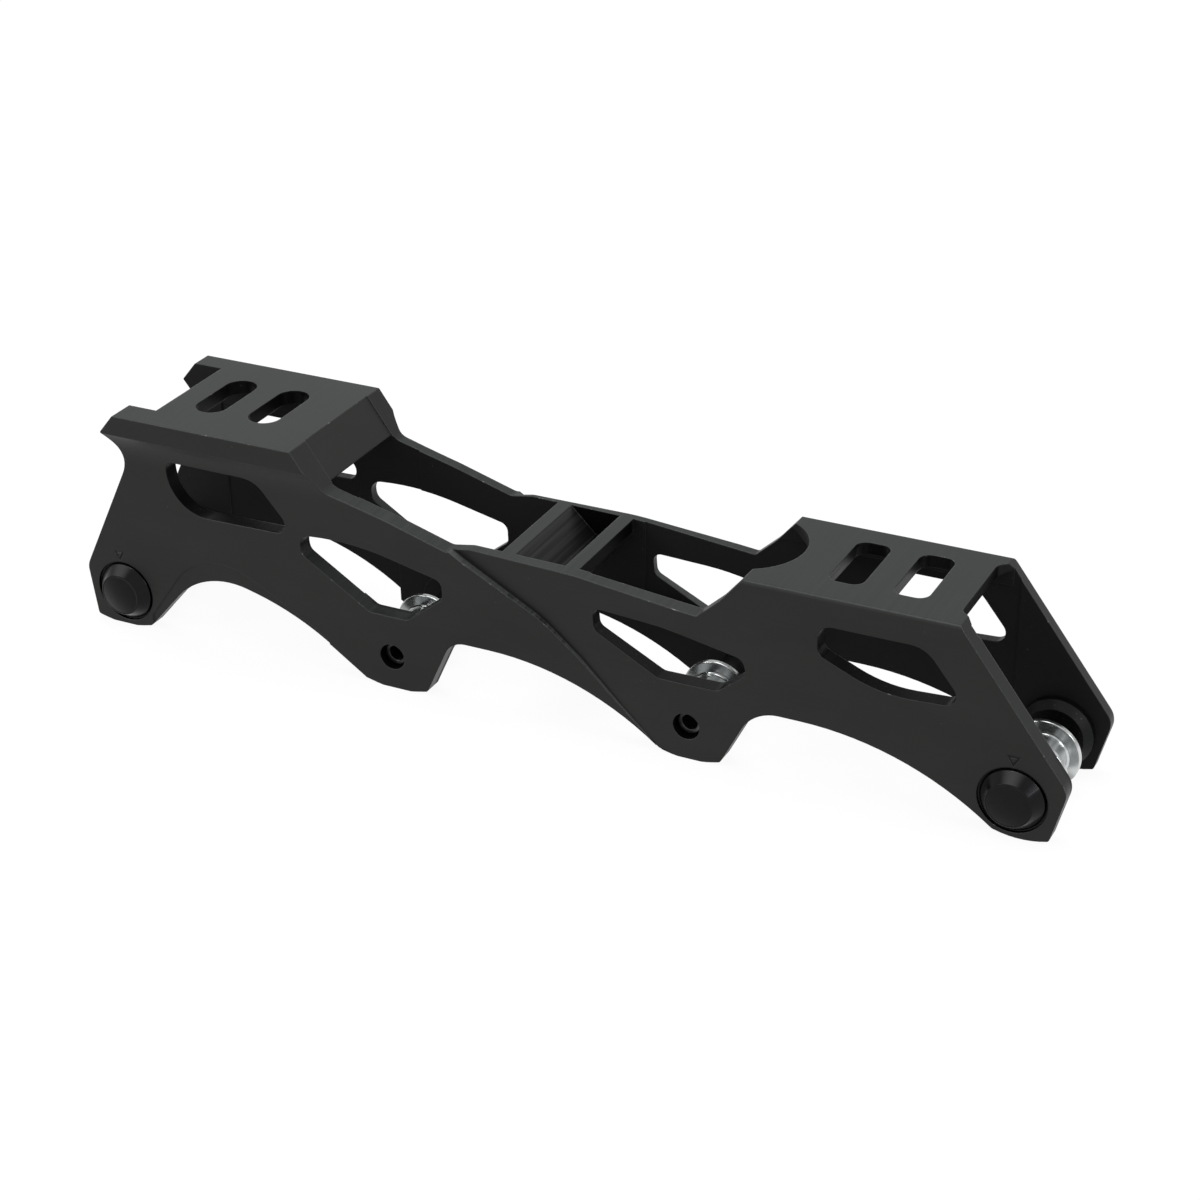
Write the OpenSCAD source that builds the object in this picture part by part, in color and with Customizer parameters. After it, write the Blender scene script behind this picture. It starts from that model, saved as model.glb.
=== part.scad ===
// Inline skate frame for four 76 mm wheels, with eccentric end stations.
// +X points to the toe, -Y is the threaded side and +Z is up. Inside the modules z = 0 is the
// axle line and x = 0 lies midway between the axles; in_frame() moves that to the outer box.

/* [Wheel line] */
// Distance from one axle to the next
pitch = 77; // [75:0.5:84]
// Height of the axle line above the lowest edge
axle_h = 8.4; // [8.3:0.05:8.6]
// Clear width between the bearing seats
seat_gap = 24; // [22:0.25:26]

/* [Walls] */
// Width across the outer faces of the two walls
walls_w = 35.4; // [34.5:0.1:38]
// Height of the bearing seats over the threaded wall's inner face
near_stand = 0.7; // [0.6:0.05:1]
// The same over the plain wall's inner face
far_stand = 3.5; // [3.2:0.1:3.9]
// Distance of the wheels' middle plane from the middle of the walls, towards the plain wall
wheel_y = -0.6; // [-0.8:0.1:-0.4]
// Height of the thicker lower rails above the axle line
rail_top = 10.4; // [9:0.1:10.6]
// Distance that a rail's face lies behind the bearing seats, threaded side
near_rail_back = 0.2; // [0.1:0.05:0.4]
// The same on the plain side
far_rail_back = 0.6; // [0.3:0.05:1]
// Radius about an axle that the platforms and the bridge stay clear of
wheel_clear_r = 40.5; // [39:0.1:42]
// Radius inside the corners between the platforms and the walls
inner_r = 2.5; // [1:0.1:3.5]
// Depth that the inner faces are relieved beside the wheels
relief_t = 0.3; // [0.1:0.05:0.6]
// Distance that the foremost wheel arch sits lower in the plain wall
far_arch_drop = 1.9; // [0:0.1:2.5]
// Distance that the plain wall's rear edge sits further back at its waist
far_waist_back = 0.7; // [0:0.1:1]

/* [Platforms] */
// Height of the rear platform above the axle line
rear_h = 50.4; // [48:0.2:54]
// Height of the front platform above the axle line
front_h = 40.2; // [39:0.2:42]
// Width of the rear platform
platform_w = 41; // [39:0.2:44]
// Height of the upright band along the rear platform's sides
band_h = 5.1; // [4:0.1:6]
// Radius of the cove between the band and the wall
cove_r = 15; // [12:0.5:18]
// Thickness of the rear platform
rear_web_t = 3.5; // [2.5:0.1:4.5]
// Thickness of the front platform
front_web_t = 3; // [2:0.1:4]
// Distance that the front platform's toe edge lies behind the walls' slanted edges
toe_back = 2.1; // [1:0.1:3]
// Radius along the front platform's outer edges
front_edge_r = 1; // [0.5:0.1:1.4]
// Depth of the angled lip under the rear platform's front edge
lip_h = 9.2; // [8:0.2:10]
// Distance that the lip lies behind the walls' slanted edges
lip_back = 0.3; // [0.1:0.05:0.6]

/* [Mounting slots] */
// Distance between the rear and the front mount
mount_spacing = 165; // [160:0.5:168]
// Distance of the middle of the two mounts behind the middle of the axles
mount_back = 2.8; // [0:0.1:5]
// Distance between the two slots of a mount
slot_pitch = 15; // [12:0.25:17]
// Width of a slot
slot_w = 8.2; // [6:0.1:9]
// Length of a slot across the frame
slot_len = 20.3; // [14:0.1:22]
// Corner radius of the front slots
slot_corner_r = 2.7; // [1:0.1:3]

/* [Bridge] */
// Thickness of the two ribs of the bridge
rib_t = 3.5; // [2.5:0.1:5]
// Distance between the ribs
rib_gap = 12.8; // [10:0.2:16]
// Depth of the pocket between the ribs
pocket_depth = 6.4; // [3:0.1:8]
// Height of the bridge's flat underside above the axle line
bridge_bottom = 21; // [18:0.2:23]

/* [Rockering end stations] */
// Distance from an end bore's axis down to its axle
eccentric = 0.8; // [0.4:0.1:1]
// Radius of the end bores
end_bore_r = 7.6; // [7:0.1:7.8]
// Radius of the shallow ring round an end bore's mouth
mouth_r = 8; // [7.9:0.05:8.2]
// Depth of that ring
mouth_depth = 0.8; // [0.4:0.1:1.5]
// Radius of the collars inside the walls
collar_r = 8.6; // [8.2:0.1:9.5]
// Radius of the bearing seat on a collar
collar_seat_r = 6.9; // [6:0.1:7.5]
// Height of the cone below the seat, threaded side
near_cone_h = 0.4; // [0.2:0.1:0.5]
// The same on the plain side
far_cone_h = 1.7; // [1:0.1:2.2]
// Radius of the bearing seats at the two middle stations
boss_r = 8.2; // [7.8:0.1:9]
// Radius of the flat disc on a rocker nut
disc_r = 5.35; // [4.5:0.05:6]
// Distance that the disc stands out of the wall
disc_out = 2.55; // [1.5:0.05:2.6]
// Thickness left between the disc and the blind thread
disc_t = 3.4; // [2:0.1:4]
// Radius of the index dimple in the disc
dimple_r = 0.4; // [0.2:0.05:0.6]

/* [Axles and spacers] */
// Diameter of an axle's shank
axle_d = 8; // [7:0.1:8]
// Diameter of the thread, drawn as a plain cylinder at its root
thread_d = 6.5; // [6:0.05:6.6]
// Distance from the wall's outer face to an axle's tip
tip_back = 2; // [1:0.1:3]
// Diameter of the hole in an axle's tip
tip_hole_d = 3.8; // [3:0.1:4.4]
// Depth of that hole
tip_hole_depth = 4; // [2:0.5:8]
// Diameter of an axle's head
head_d = 13; // [11:0.2:13.4]
// Thickness of an axle's head
head_t = 2.6; // [1.8:0.1:2.8]
// Hexagon key size across its flats
key_w = 4; // [3:0.5:5]
// Depth of the key socket
key_depth = 2.4; // [1.5:0.1:4]
// Length of a bearing spacer
spacer_len = 11; // [9:0.25:13]
// Diameter of a spacer's flanges
spacer_d = 16.6; // [14:0.2:17]
// Thickness of a spacer's flange
flange_t = 1.35; // [0.8:0.05:2]
// Diameter of a spacer's barrel
barrel_d = 10.6; // [9.6:0.1:12]
// Radial clearance of every running fit
running = 0.05; // [0.02:0.01:0.08]

/* [Face details] */
// Depth of the scooped face beside the bridge, at its deep end
scoop_t = 1.8; // [0.8:0.1:2]
// Depth of the shallow step round the rear wheel arch
arch_step_t = 0.3; // [0.1:0.05:0.6]
// Depth of the index triangles
mark_t = 0.25; // [0.1:0.05:0.5]
// Width of an index triangle
mark_w = 2.9; // [2.4:0.1:3.4]
// Width of its engraved line
mark_line = 0.35; // [0.25:0.05:0.4]
// Height of its middle above the axle line
mark_z = 10.8; // [10.6:0.1:11.4]

/* [Hidden] */
$fn = 72;

// Overlap of a cut past the face it opens
over = 1;
// Chord error of arcs drawn as points
chord = 0.02;

// Across the frame: faces of the walls, middle of the channel and bearing seats
wall_y = walls_w / 2;
near_seat_y = wheel_y - seat_gap / 2;
far_seat_y = wheel_y + seat_gap / 2;
near_y = near_seat_y - near_stand;
far_y = far_seat_y + far_stand;
channel_w = far_y - near_y;
channel_y = (near_y + far_y) / 2;
platform_y = platform_w / 2;

// Up the section: where the cove leaves the wall
cove_y = wall_y + cove_r;
cove_z = rear_h - band_h - sqrt(cove_r ^ 2 - (cove_y - platform_y) ^ 2);

// Along the frame: the stations, counted from the heel, and the mounts
function station(i) = (i - 1.5) * pitch;
rear_mount_x = -mount_back - mount_spacing / 2;
front_mount_x = rear_mount_x + mount_spacing;

axle_r = axle_d / 2;
thread_r = thread_d / 2;
insert_r = end_bore_r - running;

// Free distance between each spacer and the seat on its near side, from the heel
spacer_free = [4.5, 2, 1.45, 7.6];

// Corners are [along, up, radius]. Where two radii don't fit on a side, both shrink alike
function flat(p) = [p.x, p.y];
function unit(a, b) = (flat(b) - flat(a)) / norm(flat(b) - flat(a));
function bend(a, p, b) = acos(max(-1, min(1, unit(a, p) * unit(p, b))));
function spin(p, t) = [p.x * cos(t) - p.y * sin(t), p.x * sin(t) + p.y * cos(t)];
function arc_count(r, angle) = max(1, ceil(angle / (2 * acos(1 - chord / max(r, 0.2)))));
function fillet(a, p, b, r) =
    let (u = unit(p, a), v = unit(p, b), angle = bend(a, p, b),
         centre = flat(p) + (u + v) / norm(u + v) * (r / cos(angle / 2)),
         start = flat(p) + u * r * tan(angle / 2) - centre,
         hand = sign(v.x * u.y - v.y * u.x),
         n = arc_count(r, angle))
    [for (k = [0:n]) centre + spin(start, hand * angle * k / n)];
function corners(v) =
    let (n = len(v),
         legs = [for (i = [0:n - 1])
             v[i].z * tan(bend(v[(i + n - 1) % n], v[i], v[(i + 1) % n]) / 2)],
         room = [for (i = [0:n - 1]) let (j = (i + 1) % n)
             0.99 * norm(flat(v[j]) - flat(v[i])) / max(legs[i] + legs[j], 0.001)])
    [for (i = [0:n - 1]) let (h = (i + n - 1) % n, j = (i + 1) % n)
        each (v[i].z > 0 ? fillet(v[h], v[i], v[j], v[i].z * min(1, room[h], room[i]))
                         : [flat(v[i])])];

// Side outline of the walls, clockwise from the rear platform
rear_x = station(0);
s1 = station(1);
s2 = station(2);
front_x = station(3);
rear_edge_x = rear_x + 11.8;
rear_front_x = s1 - 23;
slant = 0.7;
lobe_ahead = [6.9, 9.2, 8.4, 8.7];
lobe_behind = [9.1, 7.6, 6.9, 4.2];
rail_reach = 15;
relief_start = 10.8;
relief_back = 25.5;
lobe_corner_z = 1 - axle_h;
lobe_r = 24;
// Two corners of each wheel arch: behind the axle ahead of it, and ahead of the axle behind it
arches = [[[26.4, 5.6, 66], [24.4, 12.4, 21]],
          [[26.4, 7.9, 70], [16.3, 7.9, 6]],
          [[24.3, 8.2, 74], [16.5, 8.2, 10]]];

top_edge = [
    [rear_x - 0.2, rear_h - 4.9, 0.4],
    [rear_x + 3.9, rear_h, 0.4],
    [rear_front_x, rear_h, 0.4],
    [rear_front_x + slant * (rear_h - front_h), front_h, 4],
    [s1 + 0.5, 36, 40],
    [s1 + 15.9, 31.4, 3],
    [s1 + 21.5, 32.4, 3],
    [s2 - 28.5, 32, 60],
    [s2 + 2.5, 28.9, 0.8],
    [s2 + 7.9, 33.8, 12],
    [s2 + 13.3, front_h, 0.4],
];
front_end = [
    [front_x - 13.6, front_h, 0.4],
    [front_x + 12.2, 5.6, 5],
];
function rear_end(back) = [
    [rear_x - 10.8, 6, 5],
    [rear_x + 5.6 - back, rear_h - 11.6, 8],
];
function lobe(i) =
    let (x = station(i), ahead = x + lobe_ahead[i], behind = x - lobe_behind[i])
    [[ahead, lobe_corner_z, 0.8],
     [(ahead + behind) / 2, lobe_corner_z - 1.95, lobe_r],
     [behind, lobe_corner_z, 0.8]];
function arch(i, drop = 0) =
    [[station(i + 1) - arches[i][0].x, arches[i][0].y - drop, arches[i][0].z],
     [station(i) + arches[i][1].x, arches[i][1].y - drop, arches[i][1].z]];
function side_outline(drop, back) =
    corners(concat(top_edge, front_end, lobe(3), arch(2, drop), lobe(2), arch(1), lobe(1),
                   arch(0), lobe(0), rear_end(back)));
outline = side_outline(0, 0);
far_outline = side_outline(far_arch_drop, far_waist_back);

// The outer box's middle along the frame, which becomes x = 0
box_x = (min([for (p = outline) p.x]) + max([for (p = outline) p.x])) / 2;

// Windows through both walls, from the heel
windows = [
    [[rear_x + 16.2, 39.8, 2.6], [rear_x + 41.3, 39.7, 7], [rear_x + 52.2, 26.9, 2.6],
     [rear_x + 16.3, 26.2, 11]],
    [[s1 - 24.3, 27.4, 3.3], [s1 - 10, 28.8, 70], [s1 + 14.5, 23.3, 2.2],
     [s1 + 14.6, 18.6, 1.6], [s1 + 4.7, 10.9, 3], [s1 - 5.6, 10.9, 2.5], [s1 - 23.5, 22.3, 2.4]],
    [[s2 - 23.7, 24.9, 2], [s2 - 5.5, 24.2, 60], [s2 + 13.7, 20.6, 2.5],
     [s2 + 14.7, 16.8, 1.5], [s2 + 7.7, 11.1, 3], [s2 - 7.1, 10.9, 2.5], [s2 - 23.3, 19.3, 2.2]],
    [[s2 + 31.3, 33.4, 3.4], [front_x - 21.1, 33.4, 7], [front_x - 11.2, 20.8, 2.6],
     [front_x - 31, 19.7, 30], [s2 + 31.4, 26.1, 2.5]],
];

// Distance that each window sits lower in the plain wall
far_drop = [0, 0, 1, 1];

// Scooped face: its crease, from the top edge down to the second wheel arch from the toe
scoop_x = s2 - 2.5;
scoop_run = scoop_x - s1 - 20;
crease = [[s1 + 14.7, 32.8, 0], [s1 + 19.8, 29.7, 20], [s1 + 40.3, 19.1, 30],
          [s2 - 26.7, 11, 30], [s2 - 16.6, 1.3, 40], [s2 - 7, -7.4, 0]];
scoop = concat(crease, [[scoop_x, -axle_h, 0], [scoop_x, 40, 0]]);

// Shallow step round the rear wheel arch
arch_step = [[rear_x + 7.5, -4.3, 0], [rear_x + 24.7, 19.4, 17], [rear_x + 55.5, 3.1, 0],
             [rear_x + 59.5, 0, 0], [rear_x + 59.5, -axle_h, 0], [rear_x + 7.5, -axle_h, 0]];

module in_frame() {
    translate([-box_x, 0, axle_h]) children();
}

// A side view shape, drawn along and up, made solid from one y to another
module across(y0, y1) {
    translate([0, y1, 0]) rotate([90, 0, 0]) linear_extrude(y1 - y0) children();
}

// A round bar along the frame's width, centred on [x, z]
module bar(x, z, r, y0, y1, fn = $fn) {
    translate([x, y1, z]) rotate([90, 0, 0]) cylinder(r = r, h = y1 - y0, $fn = fn);
}

module section() {
    difference() {
        union() {
            translate([-wall_y, -axle_h]) square([walls_w, rear_h + axle_h]);
            translate([-platform_y, cove_z]) square([platform_w, rear_h - cove_z]);
        }
        for (hand = [-1, 1]) translate([hand * cove_y, cove_z]) circle(r = cove_r);
    }
}

// Upright outline of the frame from the second station from the toe forwards
module front_section() {
    polygon(corners([[-wall_y, -axle_h, 0], [-wall_y, front_h, front_edge_r],
                     [wall_y, front_h, front_edge_r], [wall_y, -axle_h, 0]]));
}

module envelope() {
    translate([rear_x - 20, 0, 0]) rotate([90, 0, 90])
        linear_extrude(s2 - rear_x + 20) section();
    translate([s2, 0, 0]) rotate([90, 0, 90])
        linear_extrude(front_x - s2 + 20) front_section();
}

module walls() {
    across(-platform_y - over, near_y) polygon(outline);
    across(far_y, platform_y + over) polygon(far_outline);
}

// A platform plate between the walls, with its top at z and rounded inner corners
module plate(x0, x1, z, thick) {
    translate([x0, 0, 0]) rotate([90, 0, 90]) linear_extrude(x1 - x0) difference() {
        translate([near_y - over, z - thick - inner_r])
            square([channel_w + 2 * over, thick + inner_r]);
        translate([near_y + inner_r, z - thick - inner_r - over])
            square([channel_w - 2 * inner_r, inner_r + over]);
        for (y = [near_y + inner_r, far_y - inner_r])
            translate([y, z - thick - inner_r]) circle(r = inner_r);
    }
}

module rear_plate() {
    lip_z = rear_h - lip_h;
    lip_x = rear_front_x + slant * lip_h;
    back_x = lip_x - rear_web_t;
    plate(rear_edge_x, rear_front_x - slant * rear_web_t, rear_h, rear_web_t);
    across(near_y - over, far_y + over) polygon([
        [rear_front_x - 2 * rear_web_t, rear_h], [rear_front_x - lip_back, rear_h],
        [lip_x - lip_back, lip_z], [back_x, lip_z],
        [rear_front_x - slant * rear_web_t, rear_h - rear_web_t],
        [rear_front_x - 2 * rear_web_t, rear_h - rear_web_t]]);
}

module front_plate() {
    difference() {
        intersection() {
            plate(s2, front_x, front_h, front_web_t);
            across(near_y - over, far_y + over) polygon(outline);
        }
        translate([s2 + 6.4, channel_y, front_h - front_web_t - inner_r - over])
            cylinder(d = channel_w, h = front_web_t + inner_r + 2 * over);
        translate([0, 0, front_h - front_web_t - inner_r - over])
            linear_extrude(front_web_t + inner_r + 2 * over) toe_cut();
        for (i = [2, 3]) bar(station(i), 0, wheel_clear_r, near_y, far_y, 180);
    }
}

// Plan of the cut that sets the front platform's toe edge back and widens to the walls
module toe_cut() {
    back = front_end[0].x - toe_back;
    ahead = front_end[0].x + over;
    polygon(corners([[back, near_y + inner_r, inner_r], [back, far_y - inner_r, inner_r],
                     [ahead, far_y, 0], [front_x, far_y, 0],
                     [front_x, near_y, 0], [ahead, near_y, 0]]));
}

module bridge() {
    half = rib_gap / 2;
    floor_z = 32.2 - pocket_depth;
    across(near_y - over, far_y + over) difference() {
        intersection() {
            polygon(outline);
            translate([-half - rib_t, bridge_bottom]) square([rib_gap + 2 * rib_t, 20]);
        }
        for (i = [1, 2]) translate([station(i), 0]) circle(r = wheel_clear_r, $fn = 180);
        polygon([[-half, 34], [-half, 32.2], [pocket_depth - half, floor_z],
                 [half, floor_z], [half, 34]]);
    }
}

module window_cuts() {
    for (k = [0:len(windows) - 1]) {
        across(-platform_y - over, wheel_y) polygon(corners(windows[k]));
        translate([0, 0, -far_drop[k]])
            across(wheel_y, platform_y + over) polygon(corners(windows[k]));
    }
}

// Thicker lower rails of the two walls, round the two middle stations
module rails() {
    for (side = [[near_y - over, near_seat_y - near_rail_back, outline],
                 [far_seat_y + far_rail_back, far_y + over, far_outline]])
        across(side[0], side[1]) intersection() {
            polygon(side[2]);
            translate([s1 - rail_reach, -axle_h])
                square([pitch + 2 * rail_reach, axle_h + rail_top]);
        }
}

// Bearing seats on the rails at the two middle stations
module seats() {
    for (i = [1, 2]) {
        bar(station(i), 0, boss_r, near_y - over, near_seat_y);
        bar(station(i), 0, boss_r, far_seat_y, far_y + over);
    }
}

module slots() {
    for (k = [-0.5, 0.5]) {
        translate([rear_mount_x + k * slot_pitch, channel_y, rear_h - rear_web_t - over])
            rear_slot(rear_web_t + 2 * over);
        translate([front_mount_x + k * slot_pitch, channel_y, front_h - front_web_t - over])
            linear_extrude(front_web_t + 2 * over) polygon(corners([
                for (c = [[-1, -1], [-1, 1], [1, 1], [1, -1]])
                    [c.x * slot_w / 2, c.y * slot_len / 2, slot_corner_r]]));
    }
}

module rear_slot(h) {
    reach = (slot_len - slot_w) / 2;
    for (hand = [-1, 1]) translate([0, hand * reach, 0]) cylinder(d = slot_w, h = h);
    translate([-slot_w / 2, -reach, 0]) cube([slot_w, 2 * reach, h]);
}

module bores() {
    for (i = [1, 2]) {
        bar(station(i), 0, thread_r + running, -wall_y - over, channel_y);
        bar(station(i), 0, axle_r + running, channel_y, wall_y + over);
    }
    for (i = [0, 3]) {
        bar(station(i), eccentric, end_bore_r, -wall_y - over, wall_y + over);
        bar(station(i), eccentric, mouth_r, -wall_y - over, mouth_depth - wall_y);
        bar(station(i), eccentric, mouth_r, wall_y - mouth_depth, wall_y + over);
    }
}

// Inner faces of the walls, cut back beside the wheels: start, end and top of each stretch
module reliefs() {
    for (span = [[rear_x + relief_start, s1 - boss_r - over, rear_h - lip_h - relief_t],
                 [s2 - relief_back, front_x - relief_start,
                  front_h - front_web_t - inner_r - relief_t],
                 [front_end[0].x + over, front_x - relief_start, front_h]],
         y = [near_y - relief_t, far_y - over])
        translate([span.x, y, -axle_h - over])
            cube([span.y - span.x, relief_t + over, axle_h + over + span.z]);
}

module scoops() {
    for (hand = [-1, 1])
        intersection() {
            across(-wall_y - over, wall_y + over) polygon(corners(scoop));
            translate([scoop_x, hand * wall_y, 0])
                rotate([0, 0, hand * atan(scoop_t / scoop_run)])
                    translate([-2 * scoop_run, hand > 0 ? 0 : -9, -axle_h - over])
                        cube([2 * scoop_run, 9, 50]);
        }
}

module arch_steps() {
    across(-wall_y - over, arch_step_t - wall_y) polygon(corners(arch_step));
    across(wall_y - arch_step_t, wall_y + over) polygon(corners(arch_step));
}

// Engraved triangles that point down at the end bores
module marks() {
    for (x = [rear_x - 0.7, front_x - 0.2])
        across(-wall_y - over, mark_t - wall_y) difference() {
            triangle(x, mark_w);
            triangle(x, mark_w - 3.4 * mark_line);
        }
}

module triangle(x, width) {
    translate([x, mark_z]) polygon([[-width / 2, width / 3], [width / 2, width / 3],
                                    [0, -width / 1.8]]);
}

module chassis() {
    color("#35373a") in_frame() difference() {
        intersection() {
            envelope();
            union() {
                difference() {
                    union() {
                        walls();
                        rear_plate();
                        front_plate();
                        bridge();
                    }
                    reliefs();
                }
                rails();
                seats();
            }
        }
        window_cuts();
        slots();
        bores();
        scoops();
        arch_steps();
        marks();
    }
}

// Eccentric nut in the near wall: z runs out of the frame, from the bearing seat to the disc
module rocker_nut(i) {
    inner = near_seat_y - near_y - running;
    face = near_seat_y + wall_y;
    blind = face + disc_out - disc_t;
    color("#141416") in_frame() translate([station(i), near_seat_y, eccentric]) rotate([90, 0, 0])
        difference() {
            rotate_extrude() polygon([
                [0, 0], [collar_seat_r, 0], [collar_r, near_cone_h],
                [collar_r, inner], [insert_r, inner],
                [insert_r, face - mouth_depth], [insert_r - 0.2, face],
                [disc_r, face + disc_out], [0, face + disc_out]]);
            translate([0, -eccentric, -over])
                cylinder(r = thread_r + running, h = blind + over);
            translate([0, disc_r - 3 * dimple_r, face + disc_out - dimple_r])
                cylinder(r = dimple_r, h = 2 * dimple_r);
        }
}

// Eccentric bush in the far wall: z runs out of the frame, from the bearing seat to the face
module rocker_bush(i) {
    inner = far_y - far_seat_y - running;
    face = wall_y - far_seat_y;
    color("#3a3c40") in_frame() translate([station(i), far_seat_y, eccentric])
        rotate([-90, 0, 0]) difference() {
            rotate_extrude() polygon([
                [0, 0], [collar_seat_r, 0], [collar_r, far_cone_h],
                [collar_r, inner], [insert_r, inner],
                [insert_r, face - mouth_depth], [insert_r - 0.2, face], [0, face]]);
            translate([0, eccentric, -over]) cylinder(r = axle_r + running, h = face + 2 * over);
        }
}

// Axle: z runs from under the head, on the far wall's outer face, to the tip
module axle(i) {
    shank = wall_y - near_seat_y - running;
    tip = 2 * wall_y - tip_back;
    color("#55585c") in_frame() translate([station(i), wall_y, 0]) rotate([90, 0, 0])
        difference() {
            rotate_extrude() polygon([
                [0, -head_t], [head_d / 2 - 0.8, -head_t], [head_d / 2, 0.8 - head_t],
                [head_d / 2, 0], [axle_r, 0], [axle_r, shank], [thread_r, shank],
                [thread_r, tip - 0.5], [thread_r - 0.5, tip], [0, tip]]);
            translate([0, 0, -head_t - over])
                cylinder(d = key_w / cos(30), h = key_depth + over, $fn = 6);
            translate([0, 0, tip - tip_hole_depth])
                cylinder(d = tip_hole_d, h = tip_hole_depth + over);
        }
}

module spacer(i) {
    bore_r = axle_r + running;
    color("silver") in_frame()
        translate([station(i), near_seat_y + spacer_free[i] + spacer_len, 0])
            rotate([90, 0, 0]) rotate_extrude() polygon([
                [bore_r, 0], [spacer_d / 2, 0], [spacer_d / 2, flange_t],
                [barrel_d / 2, flange_t], [barrel_d / 2, spacer_len - flange_t],
                [spacer_d / 2, spacer_len - flange_t], [spacer_d / 2, spacer_len],
                [bore_r, spacer_len]]);
}

chassis();
rocker_nut(3);  // front_rocker_nut
rocker_bush(3);  // front_rocker_bush
rocker_nut(0);  // rear_rocker_nut
rocker_bush(0);  // rear_rocker_bush
axle(0);  // axle_1
axle(1);  // axle_2
axle(2);  // axle_3
axle(3);  // axle_4
spacer(0);  // spacer_1
spacer(1);  // spacer_2
spacer(2);  // spacer_3
spacer(3);  // spacer_4
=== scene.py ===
"""Looks of an inline skate frame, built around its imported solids.

The frame is one machined and anodised aluminium piece with four wheel stations. The two end
stations hold eccentric inserts, and every station has an axle with a loose bearing spacer.
Coordinates are the frame's own: +X to the toe, -Y to the threaded side, +Z up. Lengths are in
millimetres in the classes that make shapes, and in metres in the finishes and the studio.
"""
from __future__ import annotations

import logging
import math
from dataclasses import dataclass
from enum import Enum
from typing import Any, Callable, Iterable, NamedTuple

import bmesh
import bpy
import numpy as np
from bmesh.types import BMEdge
from bpy.types import Material, Mesh, NodeSocket, Object, World
from mathutils import Matrix, Vector

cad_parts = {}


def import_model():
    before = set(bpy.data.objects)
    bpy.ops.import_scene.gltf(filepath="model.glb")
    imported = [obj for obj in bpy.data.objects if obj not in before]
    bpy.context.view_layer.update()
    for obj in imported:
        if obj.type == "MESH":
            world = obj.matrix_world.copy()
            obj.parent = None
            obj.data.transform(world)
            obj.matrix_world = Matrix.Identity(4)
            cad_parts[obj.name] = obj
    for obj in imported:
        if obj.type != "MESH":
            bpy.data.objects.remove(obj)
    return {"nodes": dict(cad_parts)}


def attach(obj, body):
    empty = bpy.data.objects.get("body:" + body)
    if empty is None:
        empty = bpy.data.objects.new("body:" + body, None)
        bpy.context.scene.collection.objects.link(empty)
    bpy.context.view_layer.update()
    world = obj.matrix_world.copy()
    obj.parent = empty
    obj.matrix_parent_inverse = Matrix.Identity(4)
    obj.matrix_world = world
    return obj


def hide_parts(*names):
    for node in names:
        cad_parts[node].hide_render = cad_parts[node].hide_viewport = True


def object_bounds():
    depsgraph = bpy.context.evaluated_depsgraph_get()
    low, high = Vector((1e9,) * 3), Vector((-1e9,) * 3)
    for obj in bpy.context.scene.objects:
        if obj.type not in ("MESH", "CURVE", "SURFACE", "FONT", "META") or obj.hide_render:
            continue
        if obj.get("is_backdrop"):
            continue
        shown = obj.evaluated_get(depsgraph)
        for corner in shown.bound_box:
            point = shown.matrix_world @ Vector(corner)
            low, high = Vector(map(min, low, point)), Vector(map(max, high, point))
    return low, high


Colour = tuple[float, float, float]
Range = tuple[float, float]
# A Shade, a number or a tuple of numbers: what an input socket takes
Link = Any

MM = 0.001
X, Y, Z = range(3)
WHITE: Colour = (1.0, 1.0, 1.0)
# Added or compared where a length may come out as nothing
TINY = 1e-6
# Points closer than this, in metres, are one point of a new mesh
WELD = 2e-7
# New meshes are smooth except at edges that turn by this angle or more
CREASE_DEG = 34.0
log = logging.getLogger("skate_frame")


class Side(Enum):
    """The way along Y that a turned part's profile runs out of the channel."""

    NEAR = -1
    FAR = 1


class Band(NamedTuple):
    """Where a mask comes in and goes out: it rises over the first range, falls over the last."""

    start: Range
    end: Range


class Grain(NamedTuple):
    """How a noise is laid over a surface.

    Its scale is in cycles per metre, one number or one each along X, Y and Z. Its detail is
    the number of octaves, and its roughness the weight of the finer ones.
    """

    scale: float | tuple[float, float, float]
    detail: float = 2.0
    roughness: float = 0.5


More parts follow.
